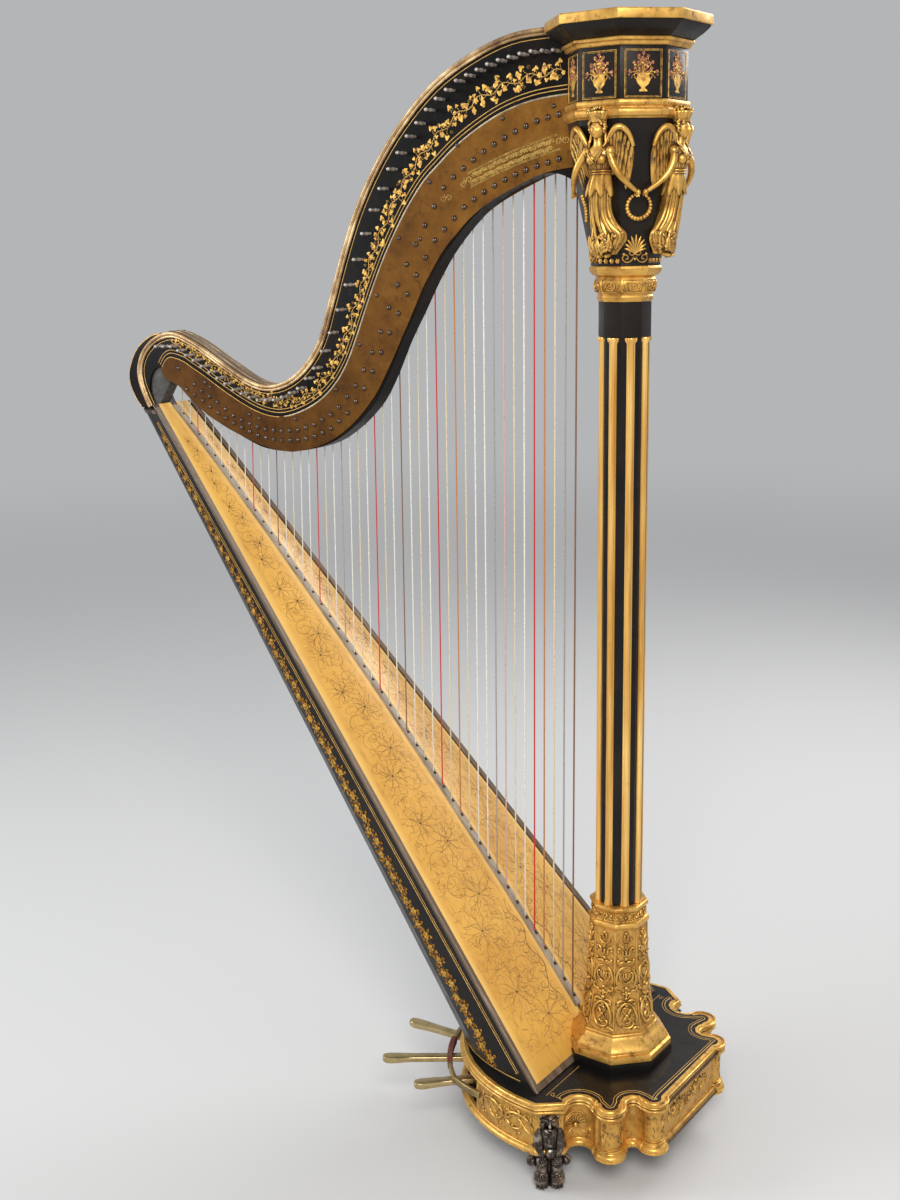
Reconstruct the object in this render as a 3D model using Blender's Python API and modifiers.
# Pedal harp with an octagonal gilded column, seven pedals and a double row of tuning work on its neck.
# Metres, +Z up. The floor is at Z = 0 and the strings lie in the plane Y = 0.
# X is measured from the column's axis, which stands column_x in front of the middle of the harp.
import math

import bmesh
import bpy
from mathutils import Matrix, Vector

# Driving dimensions

column_x = 0.4489                 # column axis in front of the middle of the harp's length
seat_gap = 0.0003                 # clearance between pieces that touch

# Base
base_bottom = 0.060               # underside of the base above the floor
base_top = 0.150                  # top of the base
bottom_moulding_height = 0.0155
top_moulding_height = 0.016
moulding_overhang = 0.007
moulding_round = 0.003
rim_inset = 0.004                 # how far the boards stop inside the wall's face
base_wall = 0.012
base_board = 0.010
drum_centre_x = -0.030            # centre of the half-oval rear part
drum_half_length = 0.236
drum_half_width = 0.221
niche_wide = ((0.013, -0.194), (0.055, -0.166), 0.024)
niche_narrow = ((0.094, -0.144), (0.112, -0.116), 0.018)
inner_column = (0.076, -0.158, 0.0175)
corner_column = (0.122, -0.101, 0.0165)
front_x = 0.133
rear_foot_inset = 0.037            # rear feet inside the drum's rear end
rear_foot_y = 0.052
rear_foot_radius = 0.018
pedal_opening_angle = 57.0        # half angle of the rear opening, seen from the drum's centre
pedal_opening_top = 0.128

# Pedals
pedal_z = 0.100
pedal_thickness = 0.010
pedal_width = 0.017
pedal_blade = 0.0046
pedal_pitch = 0.0070
pedal_pivot_x = 0.060
pivot_rod_radius = 0.0022
pivot_hole_clearance = 0.0004
pedal_spread_x = -0.045           # where the blades begin to fan out
# for each pedal, from the player's right: where it leaves the base and where its end lies
pedal_lines = (((-0.185, -0.146), (-0.262, -0.219)),
               ((-0.2375, -0.103), (-0.3555, -0.184)),
               ((-0.2800, -0.0515), (-0.3895, -0.0605)),
               ((-0.2760, 0.050), (-0.3860, 0.088)),
               ((-0.2560, 0.084), (-0.3700, 0.140)),
               ((-0.2260, 0.114), (-0.3250, 0.186)),
               ((-0.185, 0.146), (-0.262, 0.219)))
pedal_rod_radius = 0.0016
rail_offset = 0.021               # the rail stands this far outside the drum's wall
rail_thickness = 0.007
rail_height = 0.012

# Column: distances across the flats of the octagon
column_bore = 0.050
plinth_flats = 0.166
plinth_height = 0.015
foot_flats = 0.163
foot_height = 0.041
pedestal_bottom_flats = 0.114
pedestal_top_flats = 0.086
pedestal_height = 0.176
pedestal_cap_height = 0.037
pedestal_cap_flats = 0.092
shaft_flats = 0.066
shaft_height = 0.899
reed_radius = 0.006
collar_flats = 0.072
collar_height = 0.051
necking_height = 0.051
necking_flats = 0.082
bell_bottom_flats = 0.0945
bell_top_flats = 0.158
bell_height = 0.199
band_height = 0.025
band_flats = 0.170
frieze_flats = 0.158
frieze_height = 0.066
cornice_height = 0.033
slab_flats = 0.220
slab_height = 0.014

# Soundbox and soundboard: the board's plane runs down from board_top to board_bottom
board_top = Vector((-0.959, 0.0, 1.174))
board_bottom = Vector((-0.040, 0.0, 0.155))
board_top_half = 0.038
board_bottom_half = 0.184
board_thickness = 0.0034
board_belly = 0.026
board_rows = 11                   # stations along the board that its belly is built on
edge_strip_width = 0.0115
edge_strip_height = 0.0027
shell_wall = 0.006
shell_top_depth = 0.047
shell_bottom_depth = 0.172
shell_fullness = 2.4
shell_top_z = 1.1665              # the shell is cut level here, and the neck's crook stands on it
sound_hole_count = 5
sound_hole_first = 0.17           # share of the board's length at which the first hole lies
sound_hole_pitch = 0.152
sound_hole_width = 0.080
sound_hole_length = 0.170

# Strings
string_count = 46
string_first_x = -0.087
string_pitch = 0.0189
string_thick = 0.0013             # radius of the longest string
string_thin = 0.0005              # radius of the shortest
string_top_y = 0.010
rib_width = 0.014
rib_height = 0.003

# Neck
neck_right_y = -0.0315
neck_left_y = -0.0015
plate_thickness = 0.0015
pin_radius = 0.0022
pin_reach = 0.017                 # how far a tuning pin stands out of the neck on each side
edge_moulding_radius = 0.004
disc_radius = 0.0075
disc_thickness = 0.002
fork_pin_radius = 0.0011
fork_pin_reach = 0.012
fork_pin_offset = 0.0048
moving_disc_first = 14            # the octave of strings whose fork discs turn
disc_drop = 0.040                 # disc row above the plate's lower edge

body_collection = bpy.data.collections.new("pedal_harp")
cutter_collection = bpy.data.collections.new("pedal_harp_cutters")


def start_scene():
    for old in list(bpy.data.objects):
        bpy.data.objects.remove(old, do_unlink=True)
    bpy.context.scene.collection.children.link(body_collection)
    bpy.context.scene.collection.children.link(cutter_collection)
    frame = bpy.data.objects.new("column_axis", None)
    frame.location = (column_x, 0.0, 0.0)
    body_collection.objects.link(frame)
    return frame


harp_frame = start_scene()


def material(name, colour, roughness, metallic):
    made = bpy.data.materials.get(name)
    if made is None:
        made = bpy.data.materials.new(name)
        made.use_nodes = True
        shader = made.node_tree.nodes["Principled BSDF"]
        shader.inputs["Base Color"].default_value = (*colour, 1.0)
        shader.inputs["Roughness"].default_value = roughness
        shader.inputs["Metallic"].default_value = metallic
    return made


def black_lacquer():
    return material("black_lacquer", (0.012, 0.011, 0.010), 0.28, 0.0)


def gold_leaf():
    return material("gold_leaf", (0.62, 0.38, 0.10), 0.38, 0.85)


def soundboard_wood():
    return material("soundboard_wood", (0.72, 0.42, 0.10), 0.45, 0.0)


def old_brass():
    return material("old_brass", (0.30, 0.15, 0.055), 0.45, 0.8)


def bright_brass():
    return material("bright_brass", (0.50, 0.36, 0.16), 0.35, 0.9)


def dark_bronze():
    return material("dark_bronze", (0.06, 0.045, 0.03), 0.4, 0.8)


def string_gut():
    return material("string_gut", (0.75, 0.68, 0.52), 0.4, 0.0)


def grey_steel():
    return material("grey_steel", (0.35, 0.34, 0.33), 0.35, 0.9)


def place(obj, finish=None, cutter=False):
    home = cutter_collection if cutter else body_collection
    if obj.name not in home.objects:
        home.objects.link(obj)
    obj.parent = harp_frame
    if cutter:
        obj.hide_render = True
        obj.display_type = 'WIRE'
    if finish is not None:
        obj.data.materials.clear()
        obj.data.materials.append(finish)
    return obj


def mesh_piece(name, mesh_builder, finish=None, cutter=False):
    mesh = bpy.data.meshes.new(name)
    work = bmesh.new()
    mesh_builder(work)
    bmesh.ops.recalc_face_normals(work, faces=work.faces)
    work.to_mesh(mesh)
    work.free()
    return place(bpy.data.objects.new(name, mesh), finish, cutter)


def curve_to_mesh(obj, finish=None, cutter=False):
    # A curve's caps are loose, so they are welded before the piece is cut or joined.
    bpy.context.view_layer.update()
    depsgraph = bpy.context.evaluated_depsgraph_get()
    mesh = bpy.data.meshes.new_from_object(obj.evaluated_get(depsgraph))
    work = bmesh.new()
    work.from_mesh(mesh)
    bmesh.ops.remove_doubles(work, verts=work.verts, dist=0.00002)
    bmesh.ops.recalc_face_normals(work, faces=work.faces)
    work.to_mesh(mesh)
    work.free()
    name = obj.name
    rotation = obj.rotation_euler.copy()
    location = obj.location.copy()
    bpy.data.objects.remove(obj, do_unlink=True)
    mesh.name = name
    made = bpy.data.objects.new(name, mesh)
    made.rotation_euler = rotation
    made.location = location
    return place(made, finish, cutter)


def flat_outline(name, outlines, low, high, finish=None, cutter=False, upright=False, rounding=0.0):
    """A flat outline extruded between two levels: up Z, or along Y when it is upright."""
    curve = bpy.data.curves.new(name, 'CURVE')
    curve.dimensions = '2D'
    curve.fill_mode = 'BOTH'
    curve.extrude = (high - low) / 2 - rounding
    if rounding > 0.0:
        curve.bevel_depth = rounding
        curve.bevel_resolution = 1
        curve.offset = -rounding
    for outline in outlines:
        spline = curve.splines.new('POLY')
        spline.points.add(len(outline) - 1)
        for point, (u, v) in zip(spline.points, outline):
            point.co = (u, v, 0.0, 1.0)
        spline.use_cyclic_u = True
    obj = bpy.data.objects.new(name, curve)
    body_collection.objects.link(obj)
    if upright:
        obj.rotation_euler = (math.radians(90.0), 0.0, 0.0)
        obj.location = (0.0, (low + high) / 2, 0.0)
    else:
        obj.location = (0.0, 0.0, (low + high) / 2)
    return curve_to_mesh(obj, finish, cutter)


def tube(name, points, radius, finish=None, closed=False, resolution=1, cutter=False):
    curve = bpy.data.curves.new(name, 'CURVE')
    curve.dimensions = '3D'
    curve.bevel_depth = radius
    curve.bevel_resolution = resolution
    curve.use_fill_caps = not closed
    spline = curve.splines.new('POLY')
    spline.points.add(len(points) - 1)
    for point, where in zip(spline.points, points):
        point.co = (*where, 1.0)
    spline.use_cyclic_u = closed
    obj = bpy.data.objects.new(name, curve)
    body_collection.objects.link(obj)
    return curve_to_mesh(obj, finish, cutter)


def boolean(obj, cutter, operation='DIFFERENCE'):
    step = obj.modifiers.new(cutter.name, 'BOOLEAN')
    step.operation = operation
    step.object = cutter
    step.solver = 'EXACT'
    return step


def box(name, low, high, finish=None, cutter=False):
    def build(work):
        bmesh.ops.create_cube(work, size=1.0)
        size = Vector(high) - Vector(low)
        bmesh.ops.scale(work, vec=size, verts=work.verts)
        bmesh.ops.translate(work, vec=(Vector(low) + Vector(high)) / 2, verts=work.verts)
    return mesh_piece(name, build, finish, cutter)


def add_cylinder(work, centre, axis, length, radius, sides, tip_radius=None):
    """A cylinder or cone frustum centred on centre, with its length along axis."""
    tip = radius if tip_radius is None else tip_radius
    turn = Vector((0.0, 0.0, 1.0)).rotation_difference(Vector(axis)).to_matrix().to_4x4()
    matrix = Matrix.Translation(centre) @ turn
    bmesh.ops.create_cone(work, cap_ends=True, segments=sides, radius1=radius, radius2=tip,
                          depth=length, matrix=matrix)


def smooth_line(points, steps):
    """Points of a smooth curve through the given ones, steps of them between each pair."""
    line = []
    count = len(points)
    for index in range(count - 1):
        before = Vector(points[max(index - 1, 0)])
        start = Vector(points[index])
        end = Vector(points[index + 1])
        after = Vector(points[min(index + 2, count - 1)])
        for step in range(steps):
            t = step / steps
            line.append(0.5 * (2 * start + (end - before) * t
                               + (2 * before - 5 * start + 4 * end - after) * t * t
                               + (3 * start - before - 3 * end + after) * t ** 3))
    line.append(Vector(points[-1]))
    return [tuple(point) for point in line]


def offset_outline(points, distance):
    """A closed outline moved outwards by distance; points run anticlockwise."""
    moved = []
    count = len(points)
    for index in range(count):
        here = Vector(points[index])
        before = (here - Vector(points[index - 1])).normalized()
        after = (Vector(points[(index + 1) % count]) - here).normalized()
        out_before = Vector((before.y, -before.x))
        out_after = Vector((after.y, -after.x))
        middle = (out_before + out_after).normalized()
        stretch = max(middle.dot(out_before), 0.5)
        moved.append(tuple(here + middle * distance / stretch))
    return moved


def arc_between(start, end, sag, steps):
    """A circular arc from start to end that bows to the left by sag, without its end points."""
    first = Vector(start)
    last = Vector(end)
    half = (last - first).length / 2
    along = (last - first).normalized()
    left = Vector((-along.y, along.x))
    radius = (half * half + sag * sag) / (2 * sag)
    centre = (first + last) / 2 + left * (sag - radius)
    half_angle = math.atan2(half, radius - sag)
    points = []
    for step in range(1, steps):
        angle = -half_angle + 2 * half_angle * step / steps
        points.append(tuple(centre + left * radius * math.cos(angle) + along * radius * math.sin(angle)))
    return points


def column_bulge(column, start_angle, end_angle, steps):
    x, y, radius = column
    points = []
    for step in range(steps + 1):
        angle = math.radians(start_angle + (end_angle - start_angle) * step / steps)
        points.append((x + radius * math.cos(angle), y + radius * math.sin(angle)))
    return points


def base_plan():
    """The base wall's outer face seen from above, anticlockwise from the middle of the rear."""
    half = []
    steps = 10
    for step in range(1, steps + 1):
        angle = math.pi + step / steps * math.pi / 2
        half.append((drum_centre_x + drum_half_length * math.cos(angle), drum_half_width * math.sin(angle)))
    half.append((drum_centre_x + 0.008, -drum_half_width))
    half.append(niche_wide[0])
    half += arc_between(*niche_wide, 6)
    half += column_bulge(inner_column, 201.0, 398.0, 6)
    half += arc_between(*niche_narrow, 5)
    half += column_bulge(corner_column, 236.0, 405.0, 6)
    other = [(x, -y) for x, y in reversed(half)]
    rear = [(drum_centre_x - drum_half_length, 0.0)]
    return rear + half + other


def base_inside():
    """The hollow of the base seen from above."""
    half = []
    steps = 8
    for step in range(1, steps + 1):
        angle = math.pi + step / steps * math.pi / 2
        half.append((drum_centre_x + (drum_half_length - base_wall) * math.cos(angle),
                     (drum_half_width - base_wall) * math.sin(angle)))
    half += [(0.000, -0.160), (0.056, -0.128), (0.074, -0.100), (0.113, -0.072)]
    other = [(x, -y) for x, y in reversed(half)]
    return [(drum_centre_x - drum_half_length + base_wall, 0.0)] + half + other


def octagon_ring(name, profile, bore, finish):
    """A column piece: a closed profile of (across flats, height) turned in eight steps about the axis."""
    to_corner = 1 / (2 * math.cos(math.pi / 8))
    low = profile[-1][1]
    high = profile[0][1]
    points = [(flats * to_corner, z) for flats, z in profile]
    points += [(bore * to_corner, low), (bore * to_corner, high)]
    mesh = bpy.data.meshes.new(name)
    vertices = [(r, 0.0, z) for r, z in points]
    edges = [(i, (i + 1) % len(points)) for i in range(len(points))]
    mesh.from_pydata(vertices, edges, [])
    obj = bpy.data.objects.new(name, mesh)
    obj.rotation_euler = (0.0, 0.0, math.radians(22.5))
    place(obj, finish)
    turn = obj.modifiers.new("turn", 'SCREW')
    turn.axis = 'Z'
    turn.angle = math.radians(360.0)
    turn.steps = 8
    turn.render_steps = 8
    turn.use_merge_vertices = True
    turn.merge_threshold = 0.0001
    turn.use_smooth_shade = False
    return obj


def octagon_room(name, profile):
    """Clearance round a column piece, for cutting what stands against it."""
    to_corner = (1 / math.cos(math.pi / 8)) / 2
    levels = [(flats + 2 * seat_gap, z) for flats, z in profile]
    levels[0] = (levels[0][0], levels[0][1] + seat_gap)
    levels[-1] = (levels[-1][0], levels[-1][1] - seat_gap)

    def build(work):
        rings = []
        for flats, z in levels:
            radius = flats * to_corner
            rings.append([Vector((radius * math.cos(math.radians(22.5 + 45 * k)),
                                  radius * math.sin(math.radians(22.5 + 45 * k)), z)) for k in range(8)])
        skin(work, rings)
    return mesh_piece(name, build, cutter=True)


def base_pieces():
    plan = base_plan()
    rim = offset_outline(plan, -rim_inset)
    ring = offset_outline(plan, moulding_overhang)
    board = offset_outline(plan, -rim_inset - seat_gap)
    wall_bottom = base_bottom + bottom_moulding_height + seat_gap
    wall_top = base_top - top_moulding_height - seat_gap
    inside = flat_outline("moulding_inside", [rim], base_bottom - 0.01, base_top + 0.01, cutter=True)
    for name, low, high in (("base_bottom_moulding", base_bottom, wall_bottom - seat_gap),
                            ("base_top_moulding", wall_top + seat_gap, base_top)):
        moulding = flat_outline(name, [ring], low, high, gold_leaf(), rounding=moulding_round)
        boolean(moulding, inside)
    flat_outline("base_bottom_board", [board], wall_bottom - seat_gap - base_board, wall_bottom - seat_gap,
                 black_lacquer())
    flat_outline("base_top_board", [board, octagon_plan(column_bore)], wall_top + seat_gap, base_top,
                 black_lacquer())
    wall = flat_outline("base_wall", [plan, base_inside()], wall_bottom, wall_top, gold_leaf())
    reach = 0.4
    spread = reach * math.tan(math.radians(pedal_opening_angle))
    wedge = [(drum_centre_x - 0.02, 0.0), (drum_centre_x - reach, -spread), (drum_centre_x - reach, spread)]
    opening = flat_outline("pedal_opening", [wedge], wall_bottom - 0.01, pedal_opening_top, cutter=True)
    boolean(wall, opening)


def pedal_outline(index):
    leave, end = pedal_lines[index]
    lane = (index - 3) * pedal_pitch
    half_blade = pedal_blade / 2
    half_bar = pedal_width / 2
    start = Vector((pedal_pivot_x + 0.008, lane))
    spread = Vector((pedal_spread_x, lane))
    leave = Vector(leave)
    end = Vector(end)
    inward = (spread - leave).normalized()
    widen = leave + inward * 0.03
    outward = (end - leave).normalized()
    side_in = Vector((inward.y, -inward.x))
    side_out = Vector((-outward.y, outward.x))
    round_centre = end - outward * half_bar
    right = [start + Vector((0.0, half_blade)), spread + Vector((0.0, half_blade)),
             widen - side_in * half_blade, leave - side_in * half_bar]
    left = [start - Vector((0.0, half_blade)), spread - Vector((0.0, half_blade)),
            widen + side_in * half_blade, leave + side_in * half_bar]
    tip = []
    for step in range(7):
        angle = math.pi * step / 6
        tip.append(round_centre + side_out * half_bar * math.cos(angle) + outward * half_bar * math.sin(angle))
    outline = left + tip + list(reversed(right))
    return [tuple(point) for point in outline]


def pedal_pieces():
    eye_radius = pivot_rod_radius + pivot_hole_clearance
    eye_length = pedal_pitch * 8

    def build_eye(work):
        add_cylinder(work, (pedal_pivot_x, 0.0, pedal_z), (0.0, 1.0, 0.0), eye_length, eye_radius, 12)
    eye = mesh_piece("pedal_eye", build_eye, cutter=True)
    for index in range(len(pedal_lines)):
        name = "pedal_%d" % (index + 1)
        bar = flat_outline(name, [pedal_outline(index)], pedal_z - pedal_thickness / 2,
                           pedal_z + pedal_thickness / 2, bright_brass())
        boolean(bar, eye)
        # The pedal's origin goes to its pivot.
        shift = Vector((pedal_pivot_x, (index - 3) * pedal_pitch, pedal_z))
        bar.data.transform(Matrix.Translation(bar.location - shift))
        bar.location = shift

    bracket_y = pedal_pitch * 4.2
    board_top = base_bottom + bottom_moulding_height

    def build_rod(work):
        add_cylinder(work, (pedal_pivot_x, 0.0, pedal_z), (0.0, 1.0, 0.0), 2 * bracket_y + 0.014,
                     pivot_rod_radius, 12)
    mesh_piece("pedal_pivot_rod", build_rod, grey_steel())
    hole_radius = pivot_rod_radius + seat_gap

    def build_hole(work):
        add_cylinder(work, (pedal_pivot_x, 0.0, pedal_z), (0.0, 1.0, 0.0), 4 * bracket_y, hole_radius, 12)
    hole = mesh_piece("bracket_hole", build_hole, cutter=True)
    for side, name in ((-1, "pivot_bracket_right"), (1, "pivot_bracket_left")):
        low_y = min(side * bracket_y, side * (bracket_y + 0.006))
        high_y = max(side * bracket_y, side * (bracket_y + 0.006))
        bracket = box(name, (pedal_pivot_x - 0.010, low_y, board_top + seat_gap),
                      (pedal_pivot_x + 0.010, high_y, pedal_z + 0.012), bright_brass())
        boolean(bracket, hole)
    rod_bottom = pedal_z + pedal_thickness / 2 + seat_gap
    rod_top = base_top + 1.45
    for index in range(len(pedal_lines)):

        def build_pull(work, index=index):
            lane = (index - 3) * pedal_pitch
            add_cylinder(work, (0.0, lane, (rod_bottom + rod_top) / 2), (0.0, 0.0, 1.0),
                         rod_top - rod_bottom, pedal_rod_radius, 8)
        mesh_piece("pedal_rod_%d" % (index + 1), build_pull, grey_steel())


def rail_piece():
    """Brass rail that the raised pedals rest under, bent round the rear of the drum."""
    low = pedal_z + pedal_thickness / 2 + seat_gap
    points = []
    steps = 18
    for step in range(steps + 1):
        part = -1 + 2 * step / steps
        angle = math.pi + part * math.radians(pedal_opening_angle + 5.0)
        away = rail_offset * min(1.0, (1 - abs(part)) * 4.5) + rail_thickness / 2 + 0.0006
        points.append((drum_centre_x + (drum_half_length + away) * math.cos(angle),
                       (drum_half_width + away) * math.sin(angle)))
    outer = []
    inner = []
    for index, point in enumerate(points):
        before = Vector(points[max(index - 1, 0)])
        after = Vector(points[min(index + 1, steps)])
        along = (after - before).normalized()
        side = Vector((along.y, -along.x)) * rail_thickness / 2
        outer.append(tuple(Vector(point) + side))
        inner.append(tuple(Vector(point) - side))
    flat_outline("pedal_rail", [outer + list(reversed(inner))], low, low + rail_height, bright_brass())


def column_pieces():
    z = base_top + seat_gap
    black = black_lacquer()
    gold = gold_leaf()
    bore = column_bore
    plinth = [(plinth_flats, z + plinth_height), (plinth_flats, z)]
    octagon_ring("column_plinth", plinth, bore, black)
    z += plinth_height + seat_gap
    top = z + foot_height
    foot = [(pedestal_bottom_flats + 0.004, top), (0.124, top - 0.004), (0.128, top - 0.010),
            (0.144, top - 0.020), (0.154, top - 0.026), (foot_flats, top - 0.029),
            (foot_flats, z + 0.003), (foot_flats - 0.004, z)]
    octagon_ring("column_foot_moulding", foot, bore, gold)
    foot_rooms = [octagon_room("plinth_room", plinth), octagon_room("foot_room", foot)]
    z = top + seat_gap
    top = z + pedestal_height
    octagon_ring("column_pedestal",
                 [(pedestal_top_flats, top), (0.0885, top - 0.060), (0.0955, top - 0.120),
                  (0.106, top - 0.160), (pedestal_bottom_flats, z)], bore, gold)
    z = top + seat_gap
    top = z + pedestal_cap_height
    octagon_ring("pedestal_cap",
                 [(0.084, top), (0.088, top - 0.003), (0.086, top - 0.008), (0.080, top - 0.010),
                  (0.082, z + 0.010), (pedestal_cap_flats, z + 0.007), (pedestal_cap_flats, z + 0.002),
                  (0.088, z)], bore, gold)
    z = top + seat_gap
    top = z + shaft_height
    flat_outline("column_shaft", [shaft_plan(), octagon_plan(bore)], z, top, black)
    z = top + seat_gap
    top = z + collar_height
    octagon_ring("column_collar", [(collar_flats, top), (collar_flats, z)], bore, black)
    z = top + seat_gap
    top = z + necking_height
    octagon_ring("column_necking",
                 [(0.090, top), (0.0985, top - 0.004), (0.0985, top - 0.012), (0.086, top - 0.015),
                  (0.080, top - 0.018), (0.0855, top - 0.028), (0.080, z + 0.013), (0.074, z + 0.010),
                  (0.0765, z + 0.007), (0.0765, z + 0.003), (0.073, z)], bore, gold)
    z = top + seat_gap
    bell_bottom = z
    top = z + bell_height
    bell = [(bell_top_flats, top), (0.148, top - 0.045), (0.130, top - 0.100), (0.108, top - 0.155),
            (bell_bottom_flats, z + 0.008), (bell_bottom_flats, z)]
    octagon_ring("capital_bell", bell, bore, black)
    z = top + seat_gap
    top = z + band_height
    band = [(0.161, top), (0.166, top - 0.004), (0.163, top - 0.010), (0.164, top - 0.013),
            (band_flats, top - 0.018), (0.166, z + 0.002), (0.161, z)]
    octagon_ring("capital_band", band, bore, gold)
    z = top + seat_gap
    top = z + frieze_height
    frieze = [(frieze_flats, top), (frieze_flats, z)]
    octagon_ring("capital_frieze", frieze, bore, black)
    z = top + seat_gap
    top = z + cornice_height
    cornice = [(slab_flats - 0.004, top), (slab_flats - 0.006, top - 0.006), (0.186, top - 0.014),
               (0.172, top - 0.019), (0.170, top - 0.024), (0.160, z + 0.002), (0.156, z)]
    octagon_ring("capital_cornice", cornice, bore, black)
    z = top + seat_gap
    top = z + slab_height
    slab = [(slab_flats - 0.008, top), (slab_flats, top - 0.003), (slab_flats, z + 0.003),
            (slab_flats - 0.004, z)]
    octagon_ring("capital_slab", slab, 0.010, gold)
    rooms = []
    for name, profile in (("bell_room", bell), ("band_room", band), ("frieze_room", frieze),
                          ("cornice_room", cornice), ("slab_room", slab)):
        rooms.append(octagon_room(name, profile))
    return bell_bottom, rooms, foot_rooms


def shaft_plan():
    """The shaft seen from above: an octagon with a half-round reed on each facet."""
    plan = []
    corner = shaft_flats / 2 / math.cos(math.pi / 8)
    for facet in range(8):
        normal_angle = math.radians(45.0 * facet)
        normal = Vector((math.cos(normal_angle), math.sin(normal_angle)))
        across = Vector((-normal.y, normal.x))
        corner_angle = normal_angle - math.pi / 8
        plan.append((corner * math.cos(corner_angle), corner * math.sin(corner_angle)))
        foot = normal * shaft_flats / 2
        for step in range(5):
            angle = math.pi * step / 4
            plan.append(tuple(foot - across * reed_radius * math.cos(angle) + normal * reed_radius * math.sin(angle)))
    return plan


# Soundbox: places are given as a share s along the board and a height h above its plane.

board_length = (board_bottom - board_top).length
board_along = (board_bottom - board_top).normalized()
board_normal = Vector((-board_along.z, 0.0, board_along.x))


def board_half(s):
    return board_top_half + (board_bottom_half - board_top_half) * s


def belly(s, y):
    half = board_half(s)
    if abs(y) >= half or s <= 0.0 or s >= 1.0:
        return 0.0
    return board_belly * math.sin(math.pi * s) ** 0.8 * (1 - (y / half) ** 2)


def board_station(row):
    return -0.002 + 1.03 * row / board_rows


def ridge(s):
    """Height of the board's middle, straight between the stations that the board is built on."""
    for row in range(board_rows):
        start = board_station(row)
        end = board_station(row + 1)
        if start <= s <= end:
            share = (s - start) / (end - start)
            return belly(start, 0.0) * (1 - share) + belly(end, 0.0) * share
    return 0.0


def on_board(s, y, h):
    return board_top + board_along * board_length * s + board_normal * h + Vector((0.0, y, 0.0))


def skin(work, rings, closed_ring=True):
    """Faces between rings of points, with both ends closed."""
    rows = [[work.verts.new(point) for point in ring] for ring in rings]
    count = len(rows[0])
    for row, following in zip(rows, rows[1:]):
        for index in range(count if closed_ring else count - 1):
            after = (index + 1) % count
            work.faces.new((row[index], row[after], following[after], following[index]))
    work.faces.new(rows[0])
    work.faces.new(list(reversed(rows[-1])))


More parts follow.
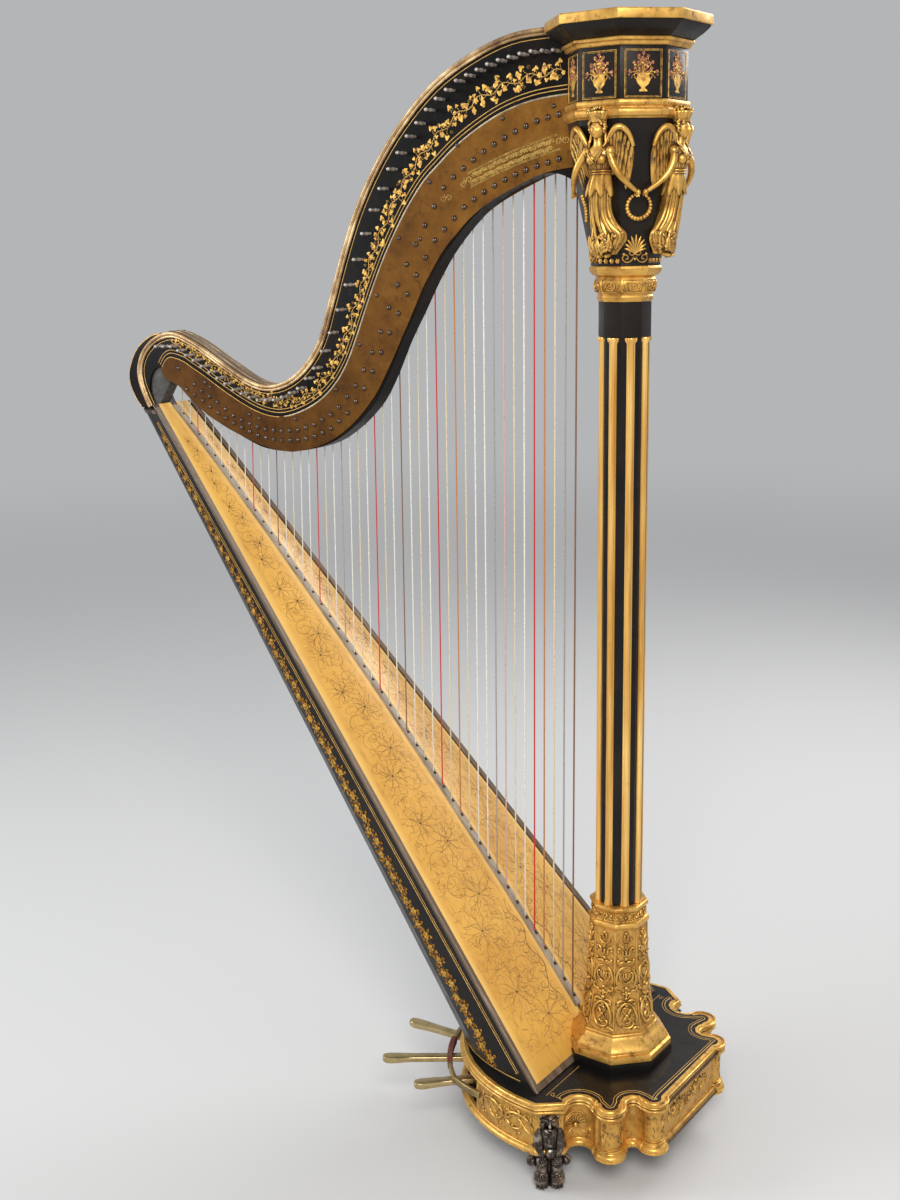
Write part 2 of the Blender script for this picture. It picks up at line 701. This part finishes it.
def soundbox_pieces(foot_rooms):
    sections = 7
    below = -board_thickness - seat_gap

    def shell_ring(s, inset):
        half = board_half(s) + edge_strip_width - inset
        depth = shell_top_depth + (shell_bottom_depth - shell_top_depth) * s - inset
        ring = []
        steps = 14
        for step in range(steps + 1):
            angle = math.pi * step / steps
            side = math.cos(angle)
            back = math.sin(angle)
            y = half * math.copysign(abs(side) ** (2 / shell_fullness), side)
            h = below - depth * abs(back) ** (2 / shell_fullness)
            ring.append(on_board(s, y, h))
        return ring

    def build_shell(work):
        rings = []
        for index in range(sections + 1):
            s = -0.04 + 1.25 * index / sections
            rings.append(shell_ring(s, 0.0) + list(reversed(shell_ring(s, shell_wall))))
        skin(work, rings)
    shell = mesh_piece("soundbox_shell", build_shell, black_lacquer())
    floor_cut = box("base_top_plane", (-0.6, -0.4, -0.3), (0.3, 0.4, base_top + seat_gap), cutter=True)
    boolean(shell, floor_cut)
    top_cut = box("shell_top_plane", (-1.2, -0.2, shell_top_z), (-0.8, 0.2, shell_top_z + 0.2), cutter=True)
    boolean(shell, top_cut)
    for index in range(sound_hole_count):
        s = sound_hole_first + sound_hole_pitch * index
        shrink = 0.45 + 0.11 * index

        def build_hole(work, s=s, shrink=shrink):
            depth = shell_top_depth + (shell_bottom_depth - shell_top_depth) * s
            centre = on_board(s, 0.0, below - depth)
            half_width = sound_hole_width * shrink / 2
            half_length = sound_hole_length * shrink / 2
            outline = []
            for step in range(16):
                angle = 2 * math.pi * step / 16
                y = half_width * math.cos(angle)
                run = half_width * math.sin(angle)
                run += math.copysign(half_length - half_width, run) if abs(run) > 1e-6 else 0.0
                outline.append((y, run))
            near = [centre + Vector((0.0, y, 0.0)) + board_along * run + board_normal * depth * 0.6
                    for y, run in outline]
            far = [centre + Vector((0.0, y, 0.0)) + board_along * run - board_normal * 0.05
                   for y, run in outline]
            skin(work, [near, far])
        boolean(shell, mesh_piece("sound_hole_%d" % (index + 1), build_hole, cutter=True))

    def build_board(work):
        stations = (-1.0, -0.70, -0.36, 0.0, 0.36, 0.70, 1.0)
        columns = len(stations) + 1
        top_rows = []
        bottom_rows = []
        for row in range(board_rows + 1):
            s = board_station(row)
            edge = board_half(s) + edge_strip_width
            across = [-edge] + [board_half(s) * station for station in stations] + [edge]
            top = []
            bottom = []
            for y in across:
                top.append(work.verts.new(on_board(s, y, belly(s, y))))
                bottom.append(work.verts.new(on_board(s, y, belly(s, y) - board_thickness)))
            top_rows.append(top)
            bottom_rows.append(bottom)
        for grid in (top_rows, bottom_rows):
            for row in range(board_rows):
                for column in range(columns):
                    work.faces.new((grid[row][column], grid[row][column + 1],
                                    grid[row + 1][column + 1], grid[row + 1][column]))
        for row in range(board_rows):
            for column in (0, columns):
                work.faces.new((top_rows[row][column], top_rows[row + 1][column],
                                bottom_rows[row + 1][column], bottom_rows[row][column]))
        for row in (0, board_rows):
            for column in range(columns):
                work.faces.new((top_rows[row][column], top_rows[row][column + 1],
                                bottom_rows[row][column + 1], bottom_rows[row][column]))
    board = mesh_piece("soundboard", build_board, soundboard_wood())
    boolean(board, floor_cut)
    for room in foot_rooms:
        boolean(board, room)

    for side, name in ((-1, "edge_strip_right"), (1, "edge_strip_left")):
        def build_strip(work, side=side):
            rings = []
            for s in (0.004, 0.5, 1.03):
                inner = side * (board_half(s) + 0.0012)
                outer = side * (board_half(s) + edge_strip_width)
                rings.append([on_board(s, inner, seat_gap), on_board(s, outer, seat_gap),
                              on_board(s, outer, edge_strip_height), on_board(s, inner, edge_strip_height)])
            skin(work, rings)
        strip = mesh_piece(name, build_strip, black_lacquer())
        boolean(strip, floor_cut)


def octagon_plan(flats):
    corner = flats / 2 / math.cos(math.pi / 8)
    return [(corner * math.cos(math.radians(22.5 + 45 * k)), corner * math.sin(math.radians(22.5 + 45 * k)))
            for k in range(8)]


# Neck

neck_top_line = ((-0.060, 1.7560), (-0.110, 1.7570), (-0.178, 1.7530), (-0.250, 1.731), (-0.320, 1.695),
                 (-0.385, 1.640), (-0.436, 1.580), (-0.479, 1.512), (-0.512, 1.440), (-0.541, 1.366),
                 (-0.567, 1.303), (-0.603, 1.259), (-0.645, 1.232), (-0.690, 1.222), (-0.735, 1.231),
                 (-0.800, 1.262), (-0.860, 1.292), (-0.915, 1.309), (-0.961, 1.300), (-0.997, 1.274),
                 (-1.014, 1.240), (-1.010, 1.205), (-0.991, shell_top_z + seat_gap))
neck_low_line = ((-0.050, 1.518), (-0.074, 1.545), (-0.110, 1.5555), (-0.149, 1.547), (-0.195, 1.529), (-0.232, 1.508),
                 (-0.271, 1.475), (-0.304, 1.440), (-0.334, 1.398), (-0.363, 1.350), (-0.393, 1.302),
                 (-0.420, 1.250), (-0.448, 1.206), (-0.477, 1.177), (-0.505, 1.155), (-0.538, 1.135),
                 (-0.568, 1.123), (-0.608, 1.113), (-0.653, 1.108), (-0.698, 1.110), (-0.728, 1.117),
                 (-0.773, 1.134), (-0.810, 1.151), (-0.850, 1.170), (-0.884, 1.193), (-0.915, 1.216),
                 (-0.936, 1.230), (-0.953, 1.243), (-0.970, 1.239), (-0.984, 1.221), (-0.986, 1.196),
                 (-0.976, shell_top_z + seat_gap))
plate_top_line = ((-0.055, 1.665), (-0.126, 1.661), (-0.182, 1.649), (-0.228, 1.630), (-0.276, 1.603),
                  (-0.312, 1.576), (-0.341, 1.552), (-0.371, 1.517), (-0.393, 1.486), (-0.420, 1.443),
                  (-0.443, 1.400), (-0.466, 1.352), (-0.485, 1.311), (-0.507, 1.268), (-0.535, 1.231),
                  (-0.572, 1.201), (-0.619, 1.179), (-0.664, 1.169), (-0.709, 1.174), (-0.754, 1.190),
                  (-0.799, 1.211), (-0.845, 1.235), (-0.891, 1.259), (-0.924, 1.264), (-0.949, 1.251))
crook_back_line = ((-0.922, 1.3105), (-0.970, 1.304), (-1.015, 1.277), (-1.038, 1.243), (-1.043, 1.215),
                   (-1.030, 1.186), (-1.014, shell_top_z + seat_gap))
pin_line = ((-0.087, 1.722), (-0.135, 1.7235), (-0.196, 1.7145), (-0.260, 1.6935), (-0.309, 1.6635),
            (-0.355, 1.619), (-0.400, 1.563), (-0.440, 1.495), (-0.480, 1.410), (-0.520, 1.325),
            (-0.560, 1.260), (-0.600, 1.222), (-0.650, 1.200), (-0.700, 1.197), (-0.750, 1.212),
            (-0.800, 1.237), (-0.850, 1.263), (-0.900, 1.284), (-0.945, 1.283))


def level_on(line, x):
    """The height of a line at x; the line runs from the column towards the player."""
    for (x1, z1), (x2, z2) in zip(line, line[1:]):
        if x2 <= x <= x1:
            return z1 + (z2 - z1) * (x - x1) / (x2 - x1)
    return line[-1][1] if x < line[-1][0] else line[0][1]


def string_x(index):
    return string_first_x - string_pitch * index


def string_radius(index):
    share = index / (string_count - 1)
    return string_thick + (string_thin - string_thick) * share ** 0.6


def rib_foot(x):
    """The point of the string rib's top under a string at x."""
    low = 0.0
    high = 1.0
    for step in range(30):
        middle = (low + high) / 2
        point = on_board(middle, 0.0, ridge(middle) + rib_height + seat_gap)
        if point.x < x:
            low = middle
        else:
            high = middle
    return on_board(low, 0.0, ridge(low) + rib_height + seat_gap)


def neck_pieces(capital_rooms):
    top = smooth_line(neck_top_line, 2)
    low = smooth_line(neck_low_line, 1)
    neck_outline = top + list(reversed(low))
    neck = flat_outline("neck", [neck_outline], neck_right_y, neck_left_y, black_lacquer(), upright=True)
    for room in capital_rooms:
        boolean(neck, room)
    plate_low = [(-0.055, 1.563)] + list(neck_low_line[2:27])
    plate_outline = list(plate_top_line) + list(reversed(plate_low))
    right_face = neck_right_y - seat_gap
    left_face = neck_left_y + seat_gap
    right_plate = flat_outline("action_plate_right", [plate_outline], right_face - plate_thickness,
                               right_face, old_brass(), upright=True)
    left_plate = flat_outline("action_plate_left", [plate_outline], left_face, left_face + plate_thickness,
                              old_brass(), upright=True)
    for plate in (right_plate, left_plate):
        for room in capital_rooms[:3]:
            boolean(plate, room)
    plate_out = left_face + plate_thickness

    def build_pins(work):
        for index in range(string_count):
            x = string_x(index) - pin_radius - string_radius(index) - seat_gap
            z = level_on(pin_line, x)
            middle = (neck_right_y + neck_left_y) / 2
            add_cylinder(work, (x, middle, z), (0.0, -1.0, 0.0),
                         neck_left_y - neck_right_y + 2 * pin_reach, pin_radius, 5, pin_radius * 0.85)
    pins = mesh_piece("tuning_pin_set", build_pins, cutter=True)
    boolean(neck, pins, 'UNION')

    def build_static_discs(work):
        for index in range(string_count):
            x = string_x(index)
            if x > -0.10 or x < -0.925 or moving_disc_first <= index < moving_disc_first + 7:
                continue
            z = level_on(neck_low_line, x) + disc_drop
            add_cylinder(work, (x, plate_out + disc_thickness / 2 - 0.0004, z), (0.0, 1.0, 0.0),
                         disc_thickness, disc_radius * (1.0 - 0.35 * index / string_count), 6)
    discs = mesh_piece("fixed_disc_set", build_static_discs, cutter=True)
    boolean(left_plate, discs, 'UNION')

    for index in range(7):
        string = moving_disc_first + index
        x = string_x(string)
        z = level_on(neck_low_line, x) + disc_drop
        base_y = plate_out + seat_gap

        def build_disc(work, index=index):
            add_cylinder(work, (0.0, disc_thickness / 2, 0.0), (0.0, 1.0, 0.0), disc_thickness,
                         disc_radius * 0.85, 12)
        disc = mesh_piece("fork_disc_%d" % (index + 1), build_disc, bright_brass())

        def build_forks(work, index=index):
            for side in (-1, 1):
                add_cylinder(work, (side * fork_pin_offset, fork_pin_reach / 2, 0.0), (0.0, 1.0, 0.0),
                             fork_pin_reach - 0.001, fork_pin_radius, 6)
        forks = mesh_piece("fork_pins_%d" % (index + 1), build_forks, cutter=True)
        for part in (disc, forks):
            part.location = (x, base_y, z)
        boolean(disc, forks, 'UNION')

    edge_y = edge_moulding_radius + seat_gap
    moulding_path = [(x, z) for x, z in smooth_line(neck_top_line[3:], 2)]
    for name, y in (("neck_moulding_right", neck_right_y - edge_y), ("neck_moulding_left", neck_left_y + edge_y)):
        inward = []
        for index, point in enumerate(moulding_path):
            before = Vector(moulding_path[max(index - 1, 0)])
            after = Vector(moulding_path[min(index + 1, len(moulding_path) - 1)])
            along = (after - before).normalized()
            side = Vector((-along.y, along.x)) * (edge_moulding_radius + 0.0005)
            where = Vector(point) + side
            inward.append((where.x, y, where.y))
        tube(name, inward, edge_moulding_radius, gold_leaf(), resolution=0)

    back = smooth_line(crook_back_line, 2)
    inner = top[2 * 17:]
    crook_inner = []
    for index, point in enumerate(inner):
        before = Vector(inner[max(index - 1, 0)])
        after = Vector(inner[min(index + 1, len(inner) - 1)])
        along = (after - before).normalized()
        crook_inner.append(tuple(Vector(point) + Vector((along.y, -along.x)) * 1.4 * seat_gap))
    crook = back + list(reversed(crook_inner[1:]))
    flat_outline("crook_back", [crook], neck_right_y + 0.001, 0.040, black_lacquer(), upright=True)

    block = [(-0.9775, shell_top_z + seat_gap), (-0.9665, shell_top_z + seat_gap), (-0.9660, 1.1745),
             (-0.9630, 1.1790), (-0.9370, 1.2150), (-0.9340, 1.2330), (-0.9500, 1.2460), (-0.9720, 1.2420),
             (-0.9870, 1.2230), (-0.9885, 1.1960)]
    top_block = flat_outline("top_block", [block], neck_right_y + 0.004, neck_left_y - 0.002, cutter=True,
                             upright=True)
    boolean(neck, top_block, 'UNION')


def string_pieces(foot_rooms):
    def build_rib(work):
        rings = []
        for s in [0.004] + [board_station(row) for row in range(1, board_rows)] + [0.97]:
            low = ridge(s) + seat_gap
            rings.append([on_board(s, -rib_width / 2, low), on_board(s, rib_width / 2, low),
                          on_board(s, rib_width / 2, low + rib_height), on_board(s, -rib_width / 2, low + rib_height)])
        skin(work, rings)
    rib = mesh_piece("string_band", build_rib, string_gut())
    for room in foot_rooms:
        boolean(rib, room)

    def build_strings(work):
        for index in range(string_count):
            x = string_x(index)
            foot = rib_foot(x) - board_normal * rib_height * 0.6
            top = Vector((x, string_top_y, level_on(pin_line, x) + 0.004))
            foot = Vector((x, 0.0, foot.z))
            along = top - foot
            add_cylinder(work, (foot + top) / 2, along.normalized(), along.length, string_radius(index), 4)
    strings = mesh_piece("string_set", build_strings, cutter=True)
    boolean(rib, strings, 'UNION')


def blob_piece(name, blobs, voxel, share, finish):
    """A carved form from overlapping ellipsoids, fused by a voxel remesh and thinned."""
    def build(work):
        for centre, size, turn in blobs:
            matrix = Matrix.Translation(centre) @ turn.to_4x4() @ Matrix.Diagonal((*size, 1.0))
            bmesh.ops.create_icosphere(work, subdivisions=2, radius=1.0, matrix=matrix)
    obj = mesh_piece(name, build, finish)
    fuse = obj.modifiers.new("fuse", 'REMESH')
    fuse.mode = 'VOXEL'
    fuse.voxel_size = voxel
    thin = obj.modifiers.new("thin", 'DECIMATE')
    thin.ratio = share
    thin.use_collapse_triangulate = True
    return obj


def lean(degrees_x, degrees_z=0.0):
    return Matrix.Rotation(math.radians(degrees_z), 3, 'Z') @ Matrix.Rotation(math.radians(degrees_x), 3, 'X')


def figure_pieces(bell_bottom, bell_room):
    """Winged figures on three facets of the capital, each built facing -Y and turned to its facet."""
    upright = Matrix.Identity(3)
    bell_top = bell_bottom + bell_height
    for name, angle in (("figure_right", 0.0), ("figure_front", 90.0), ("figure_left", 180.0)):
        blobs = [((0.0, -0.094, bell_top - 0.036), (0.011, 0.012, 0.014), upright),
                 ((0.0, -0.093, bell_top - 0.018), (0.013, 0.013, 0.008), upright),
                 ((0.0, -0.090, bell_top - 0.054), (0.006, 0.006, 0.010), upright),
                 ((0.0, -0.086, bell_top - 0.070), (0.018, 0.012, 0.017), upright),
                 ((0.0, -0.082, bell_top - 0.090), (0.012, 0.011, 0.014), upright),
                 ((0.0, -0.078, bell_top - 0.112), (0.017, 0.014, 0.022), upright),
                 ((0.0, -0.070, bell_top - 0.140), (0.019, 0.015, 0.030), lean(-12.0)),
                 ((0.0, -0.062, bell_top - 0.172), (0.022, 0.016, 0.026), lean(-12.0))]
        for side in (-1, 1):
            blobs.append(((side * 0.024, -0.082, bell_top - 0.078), (0.007, 0.006, 0.017),
                          Matrix.Rotation(math.radians(side * -35.0), 3, 'Y')))
            blobs.append(((side * 0.030, -0.078, bell_top - 0.058), (0.010, 0.005, 0.036),
                          Matrix.Rotation(math.radians(side * 18.0), 3, 'Y')))
            blobs.append(((side * 0.026, -0.072, bell_top - 0.096), (0.008, 0.006, 0.034),
                          Matrix.Rotation(math.radians(side * -8.0), 3, 'Y')))
        turn = Matrix.Rotation(math.radians(angle), 3, 'Z')
        turned = [(turn @ Vector(centre), size, turn @ spin) for centre, size, spin in blobs]
        figure = blob_piece(name, turned, 0.0034, 0.125, gold_leaf())
        boolean(figure, bell_room)
        lid = box(name + "_lid", (-0.2, -0.2, bell_top - 0.0003), (0.2, 0.2, bell_top + 0.05), cutter=True)
        boolean(figure, lid)


def foot_pieces():
    """A sitting lion on its paws at each side block, and two plain turned feet under the drum's rear."""
    rear_foot_x = drum_centre_x - drum_half_length + rear_foot_inset
    rear_foot_height = base_bottom + bottom_moulding_height - base_board - seat_gap
    wall_x = 0.5 * (drum_centre_x + 0.008 + niche_wide[0][0])
    wall_y = 0.5 * (drum_half_width - niche_wide[0][1])
    face = Vector((niche_wide[0][1] + drum_half_width, -(niche_wide[0][0] - drum_centre_x - 0.008), 0.0)).normalized()
    across = Vector((-face.y, face.x, 0.0))
    upright = Matrix.Identity(3)
    for side, name in ((1, "lion_foot_right"), (-1, "lion_foot_left")):
        outward = Vector((face.x, face.y * side, 0.0))
        sideways = Vector((-outward.y, outward.x, 0.0))
        start = Vector((wall_x, -wall_y * side, 0.0))
        parts = [(0.022, 0.0, 0.117, 0.013, 0.014), (0.019, 0.0, 0.090, 0.012, 0.020),
                 (0.016, 0.011, 0.072, 0.010, 0.018), (0.016, -0.011, 0.072, 0.010, 0.018),
                 (0.004, 0.0, 0.040, 0.020, 0.016), (0.006, 0.017, 0.044, 0.009, 0.010),
                 (0.006, -0.017, 0.044, 0.009, 0.010), (0.012, 0.009, 0.016, 0.011, 0.016),
                 (0.012, -0.009, 0.016, 0.011, 0.016), (-0.004, 0.0, 0.022, 0.018, 0.022)]
        blobs = [(start + outward * out + sideways * off + Vector((0.0, 0.0, z)), (r, r, h), upright)
                 for out, off, z, r, h in parts]
        lion = blob_piece(name, blobs, 0.003, 0.13, dark_bronze())
        boolean(lion, box(name + "_floor", (-0.5, -0.5, -0.1), (0.5, 0.5, 0.0), cutter=True))
        bulk = offset_outline(base_plan(), moulding_overhang + seat_gap)
        room = flat_outline(name + "_room", [bulk], base_bottom - seat_gap, base_top + 0.02, cutter=True)
        boolean(lion, room)
    for side, name in ((1, "rear_foot_right"), (-1, "rear_foot_left")):
        def build_foot(work, side=side):
            add_cylinder(work, (rear_foot_x, -rear_foot_y * side, rear_foot_height / 2), (0.0, 0.0, 1.0),
                         rear_foot_height, rear_foot_radius, 12, rear_foot_radius * 1.2)
        mesh_piece(name, build_foot, dark_bronze())


base_pieces()
pedal_pieces()
rail_piece()
bell_bottom_z, capital_rooms, foot_rooms = column_pieces()
soundbox_pieces(foot_rooms)
neck_pieces(capital_rooms)
string_pieces(foot_rooms)
figure_pieces(bell_bottom_z, capital_rooms[0])
foot_pieces()
bpy.context.view_layer.update()
